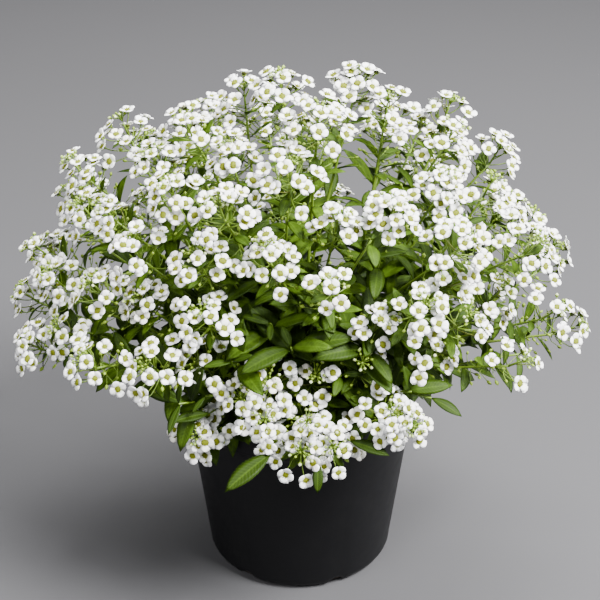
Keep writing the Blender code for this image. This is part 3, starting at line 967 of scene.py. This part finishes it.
def raceme_pods(stem, branch, count):
    """Seed pods under a head: fine stalks by the golden angle, standing out from the branch."""
    chance = stem.chance
    share = np.linspace(*POD_SPAN, count) + chance.uniform(-0.01, 0.01, count)
    line = branch(share)
    along = unit(branch(share + 0.01) - line)
    spoke = spokes(along, (GOLDEN * np.arange(count) + chance.uniform(0, math.tau))[:, None])
    heading = unit(spoke + along * chance.uniform(*POD_LEAN, (count, 1)))
    length = chance.uniform(*POD_STALKS, (count, 1)) * MM
    foot = line + heading * length
    lines = arc(line, line + spoke * length * 0.6, foot, np.linspace(0, 1, 3))
    size = chance.uniform(*POD_SIZES, count) * MM
    return lines, foot, unit(heading + along * 0.4), size


def clear_of(points, centres, clearance):
    """Which shapes keep all their points further than the clearance from every centre. The squared
    distance between p and c is p.p + c.c - 2 p.c."""
    flat = points.reshape(-1, 3)
    squares = (flat**2).sum(axis=1)[:, None] + (centres**2).sum(axis=1) - 2 * flat @ centres.T
    return squares.min(axis=1).reshape(points.shape[:2]).min(axis=1) > clearance**2


def leaf_shape(roots, along, up, lengths, widths, droops):
    """Leaves, each bent down in an arc and folded along its midrib.

    With s as the share along the leaf, x = length sin(droop s) / droop and the drop is
    length (1 - cos(droop s)) / droop. The half width is width / 2 times the oval at s, the edges
    rise by the fold times the half width, and each face swells by the belly along the midrib.
    """
    s, v, face, faces = LEAF_PATTERN
    bend = np.where(np.abs(droops) < 0.02, 0.02, droops)[:, None]
    lengths = lengths[:, None]
    half = widths[:, None] / 2 * oval(s, *LEAF_OVAL)
    x = lengths * np.sin(bend * s) / bend
    belly = LEAF_BELLY * (1 - v**2) * np.sin(np.pi * s) ** 0.5
    drop = lengths * (1 - np.cos(bend * s)) / bend
    z = LEAF_FOLD * half * np.abs(v) ** 1.3 - drop + face * belly
    return place_on(roots, along, np.cross(up, along), up, x, half * v, z), faces


def add_leaves(surface, stem, arrays, darkest=0.0, brightest=1.0, clearance=LEAF_CLEARANCE):
    """Leaves whose tones run from darkest to brightest. A tone below 0 is painted shade, darkened to
    deep green.
    """
    points, faces = leaf_shape(*arrays)
    tone = stem.chance.uniform(darkest, brightest, (len(points), 1))
    free = clear_of(points, stem.florets_near, clearance)
    surface.add((points[free], faces), LEAF, tone[free], LEAF_PATTERN[0], LEAF_PATTERN[1])


def add_stalk(surface, line, radii, sides, tone, along):
    """One stalk along a line, with a half thickness for each of its points."""
    shares = np.linspace(0, 1, len(radii))
    surface.add(tubes([line(shares)], radii, sides), STALK, tone, along)


def add_leaves_up(surface, stem, line, shares, sizes, foliage, **tones):
    """Leaves by the golden angle up a stem's, branch's or shoot's own line."""
    chance = stem.chance
    count = len(shares)
    turn = chance.uniform(*LEAF_TURN)
    roots = line(shares)
    up_line = unit(line(shares + 0.01) - roots)
    angle = (GOLDEN * np.arange(count) + turn)[:, None] + chance.normal(0, LEAF_SCATTER, (count, 1))
    spoke = spokes(up_line, angle)
    heading = unit(spoke + up_line * chance.uniform(*LEAF_LEAN, (count, 1)) + (0, 0, 0.12))
    up = square_part(up_line + (0, 0, 0.5), heading)
    lengths = foliage.leaf_length * sizes * chance.uniform(*LEAF_LENGTHS, count)
    widths = lengths * foliage.leaf_width / foliage.leaf_length * chance.uniform(*LEAF_WIDTHS, count)
    droops = chance.uniform(*LEAF_DROOPS, count)
    add_leaves(surface, stem, (roots, heading, up, lengths, widths, droops), **tones)


def grow_greens(stem, foliage, florets):
    """Everything green of one stem: stem, branches, leaves, stalks, sepals, buds and pods."""
    surface = Surface()
    chance = stem.chance
    shares = np.linspace(0, 1, len(STEM_RADII))
    add_stalk(surface, stem.line, STEM_RADII, 8, chance.uniform(0, 0.6), np.repeat(shares * 0.6, 8))
    starts, bends, hubs = stem.branch_ends()
    surface.add(tubes(arc(starts, bends, hubs, shares), BRANCH_RADII, 6), STALK,
                chance.uniform(0, 0.8, (len(starts), 1)), np.repeat(0.5 + shares * 0.5, 6))
    spots = np.linspace(0.3, 0.98, foliage.stem_leaves)
    sizes = np.linspace(1.12, 0.95, foliage.stem_leaves)
    add_leaves_up(surface, stem, stem.line, spots, sizes, foliage)
    for (tip, axis), start, bend, hub in zip(stem.heads, starts, bends, hubs):
        add_head_greens(surface, stem, tip, axis, hub, curve(start, bend, hub), foliage)
    add_shoots(surface, stem, foliage)
    add_hanging_leaves(surface, stem, foliage)
    roots, centres, facings, _ = florets
    surface.add(tubes(stalks(roots, centres, facings), FLORET_RADII, 3),
                STALK, chance.uniform(0, 1, (len(roots), 1)), 0.95)
    surface.add(sepal_shape(centres, facings, chance), BUD, 0.1, 0.2)
    return surface


def add_head_greens(surface, stem, tip, axis, hub, branch, foliage):
    """One head's branch leaves, the stalk through its middle, its buds and its pods."""
    spots = np.linspace(0.04, 0.95, foliage.branch_leaves)
    sizes = np.linspace(1.0, 0.52, foliage.branch_leaves)
    add_leaves_up(surface, stem, branch, spots, sizes, foliage)
    middle = [[hub, (hub + np.array(tip)) / 2, np.array(tip - axis * 4 * MM)]]
    surface.add(tubes(middle, HEAD_RADII, 6), STALK, 0.3, 1.0)
    along = BEAD_PATTERN[0]
    lines, foot, heading, size, order = bud_cluster(stem, tip, axis, foliage.buds)
    buds = spindles(foot - heading * 0.3 * MM, heading, size * 1.9, size * 1.5, BEAD_PATTERN, 0.6)
    surface.add(tubes(lines, FINE_RADIUS, 3), STALK, 0.2, 1.0)
    surface.add(buds, BUD, order[:, None], along)
    lines, foot, heading, size = raceme_pods(stem, branch, foliage.pods)
    pods = spindles(foot - heading * 0.4 * MM, heading, size * 3.0, size * 1.7, BEAD_PATTERN, 0.7)
    surface.add(tubes(lines, FINE_RADIUS, 3), STALK, 0.3, 0.9)
    surface.add(pods, BUD, 0.0, along)


def add_shoots(surface, stem, foliage):
    """The leafy shoots of this stem, each a stalk with leaves that crowd towards its tip."""
    for azimuth, rise, reach, count, size in rows_of(SHOOTS, stem.number):
        foot = Vector(stem.line([SHOOT_START])[0])
        tip = CROWN + direction(azimuth, rise) * reach * MM
        line = curve(foot, foot.lerp(tip, 0.55) + Vector((0, 0, 5 * MM)), tip)
        add_stalk(surface, line, SHOOT_RADII, 6, 0.4, 0.8)
        spots = 1 - 0.6 * (1 - np.linspace(0, 1, count)) ** 1.6
        sizes = size * np.concatenate([np.linspace(0.9, 1.1, count - 3), [0.95, 0.7, 0.45]])
        # Painted shade: the shoots' leaves are held darker, down to a tone below 0, as they lie in
        # shade among the heads.
        add_leaves_up(surface, stem, line, spots, sizes, foliage, darkest=-0.7, brightest=0.5)


def add_hanging_leaves(surface, stem, foliage):
    """The single leaves of this stem that hang over the pot's rim, each on a short stalk."""
    for azimuth, rise, reach, turn, tilt, length in rows_of(HANGING, stem.number):
        root = CROWN + direction(azimuth, rise) * reach * MM
        along = np.array([direction(turn, tilt)])
        up = square_part(np.array([[0, -0.45, 1.0]]), along)
        length = np.array([length * MM])
        width = length * foliage.leaf_width / foliage.leaf_length
        # Painted shade: every hanging leaf takes a tone below 0, painted as dark as a leaf in shade.
        add_leaves(surface, stem, (np.array([root]), along, up, length, width, np.array([0.3])),
                   darkest=-0.9, brightest=-0.5, clearance=0.0)
        foot = Vector(stem.line([HANGING_START])[0])
        line = curve(foot, foot.lerp(root, 0.5) + Vector((0, 0, 3 * MM)),
                     root + Vector(along[0]) * 0.5 * MM)
        add_stalk(surface, line, HANGING_RADII, 5, 0.4, 0.8)


def grow_bloom(stem, bloom, florets):
    """The open florets of one stem: petals, hearts and anthers."""
    surface = Surface()
    _, centres, facings, sizes = florets
    chance = stem.chance
    shape, tone, along, across = petal_shape(centres, facings, sizes, chance, bloom)
    surface.add(shape, PETAL, tone, along, across)
    shape, height = heart_shape(centres, facings, sizes, chance)
    surface.add(shape, HEART, 0.5, height)
    surface.add(anther_shape(centres, facings, sizes, chance), ANTHER, 0.5, CHIP_PATTERN[0])
    return surface


# Pieces

class ALYSSUM_OT_pot(bpy.types.Operator):
    """Build the nursery pot: rolled rim, rim band, tapering wall, rounded foot and drain holes"""

    bl_idname = "alyssum.pot"
    bl_label = "Nursery Pot"

    DRAIN_RADIUS = 4.0 * MM
    DRAIN_RING = 32.0 * MM
    DRAINS = 4
    NOTCHES = 6
    NOTCH_TURN = 0.6
    NOTCH_START = 0.86
    SIDES = 144
    FLOOR_TO_WALL = 1.4

    def profile(self, pot):
        """(radius, height) from the middle of the inner floor, up the inside, over and down."""
        rim, height = POT_HIGH.x, POT_HIGH.z
        wall, step, base, foot = pot.wall, pot.rim_step, pot.base_radius, pot.foot_round
        band, floor, lip = height - pot.rim_band, wall * self.FLOOR_TO_WALL, wall / 2
        inside = [(0, floor), (base * 0.5, floor), (base - 7 * MM, floor)]
        inside += [(base - wall, floor + 6 * MM), (rim - wall - step, band)]
        inside += [(rim - wall - 0.1 * MM, band + 1.5 * MM)]
        half_turn = np.radians(np.linspace(180, 0, 7))
        roll = [(rim - lip + lip * math.cos(a), height - lip + lip * math.sin(a)) for a in half_turn]
        outside = [(rim - 0.15 * MM, band + 0.8 * MM), (rim - 0.3 * MM, band)]
        outside += [(rim - step, band - 0.7 * MM), (rim - step - 0.3 * MM, band - 2.5 * MM)]
        quarter_turn = np.radians(np.linspace(0, 90, 8))
        bend = [(base - foot * (1 - math.cos(a)), foot * (1 - math.sin(a))) for a in quarter_turn]
        under = [(base - foot - 2 * MM, 0.0), (base - foot - 4 * MM, 0.8 * MM), (0, 0.8 * MM)]
        return inside + roll + outside + bend + under

    def execute(self, context):
        pot = context.scene.alyssum_pot
        radii, heights = np.array(self.profile(pot)).T
        points, faces = turned(radii, heights, self.SIDES)
        turn = np.arctan2(points[:, 1], points[:, 0])
        low = np.clip(1 - points[:, 2] / (pot.foot_round * 1.1), 0, 1)
        edge = np.hypot(points[:, 0], points[:, 1]) > pot.base_radius - pot.foot_round - 1 * MM
        wave = np.cos(turn * self.NOTCHES + self.NOTCH_TURN)
        notch = np.clip((wave - self.NOTCH_START) / (1 - self.NOTCH_START), 0, 1) ** 0.5
        dent = pot.notch_depth * notch * low * edge
        radius = np.maximum(np.hypot(points[:, 0], points[:, 1]), 1e-9)
        points[:, :2] *= (1 - dent / radius)[:, None]
        points[:, 2] += dent * 0.9 * (points[:, 2] < pot.foot_round)
        surface = Surface()
        surface.add((points[None], faces))
        item = surface.build("nursery_pot", [pot_finish(pot.colour)], "pot_plastic", ("pot",))
        self.drill(item)
        return {"FINISHED"}

    def drill(self, item):
        """Cuts the drain holes through the floor."""
        work = bmesh.new()
        for index in range(self.DRAINS):
            angle = math.tau * (index + 0.5) / self.DRAINS
            made = bmesh.ops.create_cone(
                work, cap_ends=True, segments=24, radius1=self.DRAIN_RADIUS,
                radius2=self.DRAIN_RADIUS, depth=12 * MM)
            move = (self.DRAIN_RING * math.cos(angle), self.DRAIN_RING * math.sin(angle), 0)
            bmesh.ops.translate(work, verts=made["verts"], vec=move)
        mesh = bpy.data.meshes.new("drain_cutter")
        work.to_mesh(mesh)
        work.free()
        cutter = bpy.data.objects.new("drain_cutter", mesh)
        bpy.context.scene.collection.objects.link(cutter)
        cut = item.modifiers.new("drains", "BOOLEAN")
        cut.operation, cut.object = "DIFFERENCE", cutter
        graph = bpy.context.evaluated_depsgraph_get()
        drilled = bpy.data.meshes.new_from_object(item.evaluated_get(graph))
        item.modifiers.clear()
        item.data = drilled
        item.data.set_sharp_from_angle(angle=math.radians(50))
        bpy.data.objects.remove(cutter)


class ALYSSUM_OT_soil(bpy.types.Operator):
    """Build the potting soil: a root ball with a crumbly top, and the perlite in it"""

    bl_idname = "alyssum.soil"
    bl_label = "Potting Soil"

    CRUMBS = 900
    PERLITE = 110
    SIDES = 90
    # How far single points of the top stand off it, in mm.
    LUMP = 0.4
    # Waves over the top, in radians a metre. The height of each is WAVE_HEIGHT divided by that.
    WAVES = (260.0, 540.0, 1130.0)
    WAVE_HEIGHT = 0.16

    def execute(self, context):
        chance = np.random.default_rng(SEED)
        radius, floor = SOIL_HIGH.x, SOIL_LOW.z
        ring = np.linspace(0, 1, 22)
        radii = np.concatenate([ring * radius, [radius * 0.97, radius * 0.84, 0.0]])
        heights = np.concatenate([
            self.top(ring) - 0.8 * MM, [SOIL_LEVEL - 12 * MM, floor + 1 * MM, floor],
        ])
        points, faces = turned(radii, heights, self.SIDES)
        x, y, z = points.T
        waves = sum(np.sin(x * k + k) * np.sin(y * k * 1.3 + 2 * k) / k for k in self.WAVES)
        lumps = waves * self.WAVE_HEIGHT + chance.uniform(-self.LUMP, self.LUMP, len(points)) * MM
        points[:, 2] += np.where(z > SOIL_LEVEL - 3 * MM, lumps, 0)
        surface = Surface()
        surface.add((points[None], faces), 0, 0.2)
        surface.add(self.grains(chance, self.CRUMBS, (1, 1, 0.4), (0.9, 2.9), 0.8, 0.55), 0,
                    chance.uniform(0, 1, (self.CRUMBS, 1)))
        surface.add(self.grains(chance, self.PERLITE, (1, 1, 1), (1.2, 2.8), 0.9, 0.5), 1)
        surface.build("potting_mix_with_perlite", [soil_finish(), perlite_finish()],
                      "potting_mix", ("potting_soil",))
        return {"FINISHED"}

    def top(self, share):
        """Height of the crowned top at a share of the soil's radius."""
        return SOIL_LEVEL + (SOIL_HIGH.z - SOIL_LEVEL) * np.cos(share * math.pi / 2)

    def grains(self, chance, count, squash, sizes, breadth, waist):
        """Grains half sunk in even random places on the soil's top."""
        share, angle = np.sqrt(chance.uniform(0, 0.93, count)), chance.uniform(0, math.tau, count)
        spots = np.stack([np.cos(angle), np.sin(angle)], axis=1) * (share * SOIL_HIGH.x)[:, None]
        heading = unit(chance.normal(0, 1, (count, 3)) * squash)
        size = chance.uniform(*sizes, count) * MM
        middles = np.column_stack([spots, self.top(share) - 0.6 * MM])
        return spindles(middles - heading * size[:, None] / 2, heading, size, size * breadth,
                        BEAD_PATTERN, waist)


class ALYSSUM_OT_plant(bpy.types.Operator):
    """Grow every flowering stem: its greens as one piece and its open florets as another"""

    bl_idname = "alyssum.plant"
    bl_label = "Flowering Stems"

    def execute(self, context):
        bloom, foliage = context.scene.alyssum_bloom, context.scene.alyssum_foliage
        greens = [
            stalk_finish(foliage.stalk, foliage.old_stalk),
            leaf_finish(foliage.light, foliage.dark),
            bud_finish(),
        ]
        whites = [
            petal_finish(bloom.petal, bloom.throat),
            heart_finish(bloom.heart, bloom.heart_rim),
            anther_finish(),
        ]
        stems = [Stem(index, base) for index, base in enumerate(stem_bases())]
        opened = [
            joined([head_florets(stem, order, bloom) for order in range(len(stem.heads))])
            for stem in stems
        ]
        every_centre = np.concatenate([florets[1] for florets in opened])
        for stem, florets in zip(stems, opened):
            stem.florets_near = every_centre
            node = f"flowering_stem_{stem.number:02d}"
            grow_greens(stem, foliage, florets).build(
                f"leafy_stem_{stem.number:02d}", greens, "stem_and_bloom", (node,))
            grow_bloom(stem, bloom, florets).build(
                f"open_florets_{stem.number:02d}", whites, "petals", (node,))
        return {"FINISHED"}


class ALYSSUM_OT_stage(bpy.types.Operator):
    """Set the camera, the floor, the backdrop and soft studio light"""

    bl_idname = "alyssum.stage"
    bl_label = "Camera and Light"

    # Name, place, size, power in watts: each lamp aims at the plant.
    LAMPS = (
        ("key", (0.8, -0.6, 1.3), 0.6, 118.0),
        ("fill", (-1.0, -0.9, 0.9), 1.0, 18.0),
        ("right_strip", (1.0, 0.1, 0.35), 0.5, 12.0),
        ("top", (0.1, 0.4, 1.5), 0.8, 55.0),
    )
    WORLD = (0.62, 0.64, 0.68)
    WORLD_STRENGTH = 0.3

    def execute(self, context):
        stage = context.scene.alyssum_stage
        self.set_camera(context, stage)
        self.set_floor(stage)
        for name, place, size, power in self.LAMPS:
            self.add_lamp(context, name, Vector(place), size, power, stage.target)
        world = bpy.data.worlds.new("studio")
        world.use_nodes = True
        sky = world.node_tree.nodes["Background"]
        sky.inputs["Color"].default_value = (*self.WORLD, 1.0)
        sky.inputs["Strength"].default_value = self.WORLD_STRENGTH
        context.scene.world = world
        return {"FINISHED"}

    def set_camera(self, context, stage):
        camera = bpy.data.objects.new("camera", bpy.data.cameras.new("camera"))
        context.scene.collection.objects.link(camera)
        back = Vector((0, -math.cos(stage.elevation), math.sin(stage.elevation)))
        camera.location = Vector((0, 0, stage.target)) + back * stage.distance
        camera.rotation_euler = (-back).to_track_quat("-Z", "Y").to_euler()
        camera.data.sensor_width = 36.0
        camera.data.lens = stage.lens
        context.scene.camera = camera

    def set_floor(self, stage):
        """A floor that curves up into a backdrop: a quarter circle between two flat runs."""
        front, back, rise, bend = -6.0, 2.2, 5.0, 1.2
        sweep = np.radians(np.linspace(0, 90, 16))
        y = np.concatenate([[front], back + bend * np.sin(sweep), [back + bend]])
        z = np.concatenate([[0.0], bend * (1 - np.cos(sweep)), [rise]])
        x = np.array([-6.0, 6.0])
        points = np.stack(np.broadcast_arrays(x[None], y[:, None], z[:, None]), -1).reshape(-1, 3)
        row = np.arange(len(y) - 1)[:, None] * 2
        faces = np.concatenate([row, row + 1, row + 3, row + 2], axis=1)
        mesh = bpy.data.meshes.new("studio_floor")
        mesh.from_pydata(points.tolist(), [], faces.tolist())
        mesh.shade_smooth()
        floor = bpy.data.objects.new("studio_floor", mesh)
        bpy.context.scene.collection.objects.link(floor)
        colour = list(stage.floor)
        mesh.materials.append(stage_finish("studio_card", colour, tinted(colour, 0.97)))

    def add_lamp(self, context, name, place, size, power, height):
        light = bpy.data.lights.new(name, "AREA")
        light.energy, light.size = power, size
        lamp = bpy.data.objects.new(name, light)
        lamp.location = place
        lamp.rotation_euler = (place - Vector((0, 0, height))).to_track_quat("Z", "Y").to_euler()
        context.scene.collection.objects.link(lamp)


class ALYSSUM_PT_panel(bpy.types.Panel):
    """Lists the pieces and their settings"""

    bl_idname = "ALYSSUM_PT_panel"
    bl_label = "Sweet Alyssum"
    bl_space_type = "VIEW_3D"
    bl_region_type = "UI"
    bl_category = "Alyssum"

    def draw(self, context):
        scene = context.scene
        for operator in OPERATORS:
            self.layout.operator(operator.bl_idname)
        for name in SETTINGS:
            group = getattr(scene, name)
            box = self.layout.box()
            for key in group.bl_rna.properties.keys():
                if key not in ("rna_type", "name"):
                    box.prop(group, key)


OPERATORS = (ALYSSUM_OT_pot, ALYSSUM_OT_soil, ALYSSUM_OT_plant, ALYSSUM_OT_stage)
SETTINGS = {
    "alyssum_pot": PotSettings,
    "alyssum_bloom": BloomSettings,
    "alyssum_foliage": FoliageSettings,
    "alyssum_stage": StageSettings,
}
CLASSES = (*SETTINGS.values(), *OPERATORS, ALYSSUM_PT_panel)


def register():
    for item in CLASSES:
        bpy.utils.register_class(item)
    for name, group in SETTINGS.items():
        setattr(bpy.types.Scene, name, PointerProperty(type=group))


def unregister():
    for name in SETTINGS:
        delattr(bpy.types.Scene, name)
    for item in reversed(CLASSES):
        bpy.utils.unregister_class(item)


def main():
    register()
    bpy.ops.alyssum.stage()
    bpy.ops.alyssum.pot()
    bpy.ops.alyssum.soil()
    bpy.ops.alyssum.plant()


if __name__ == "__main__":
    main()
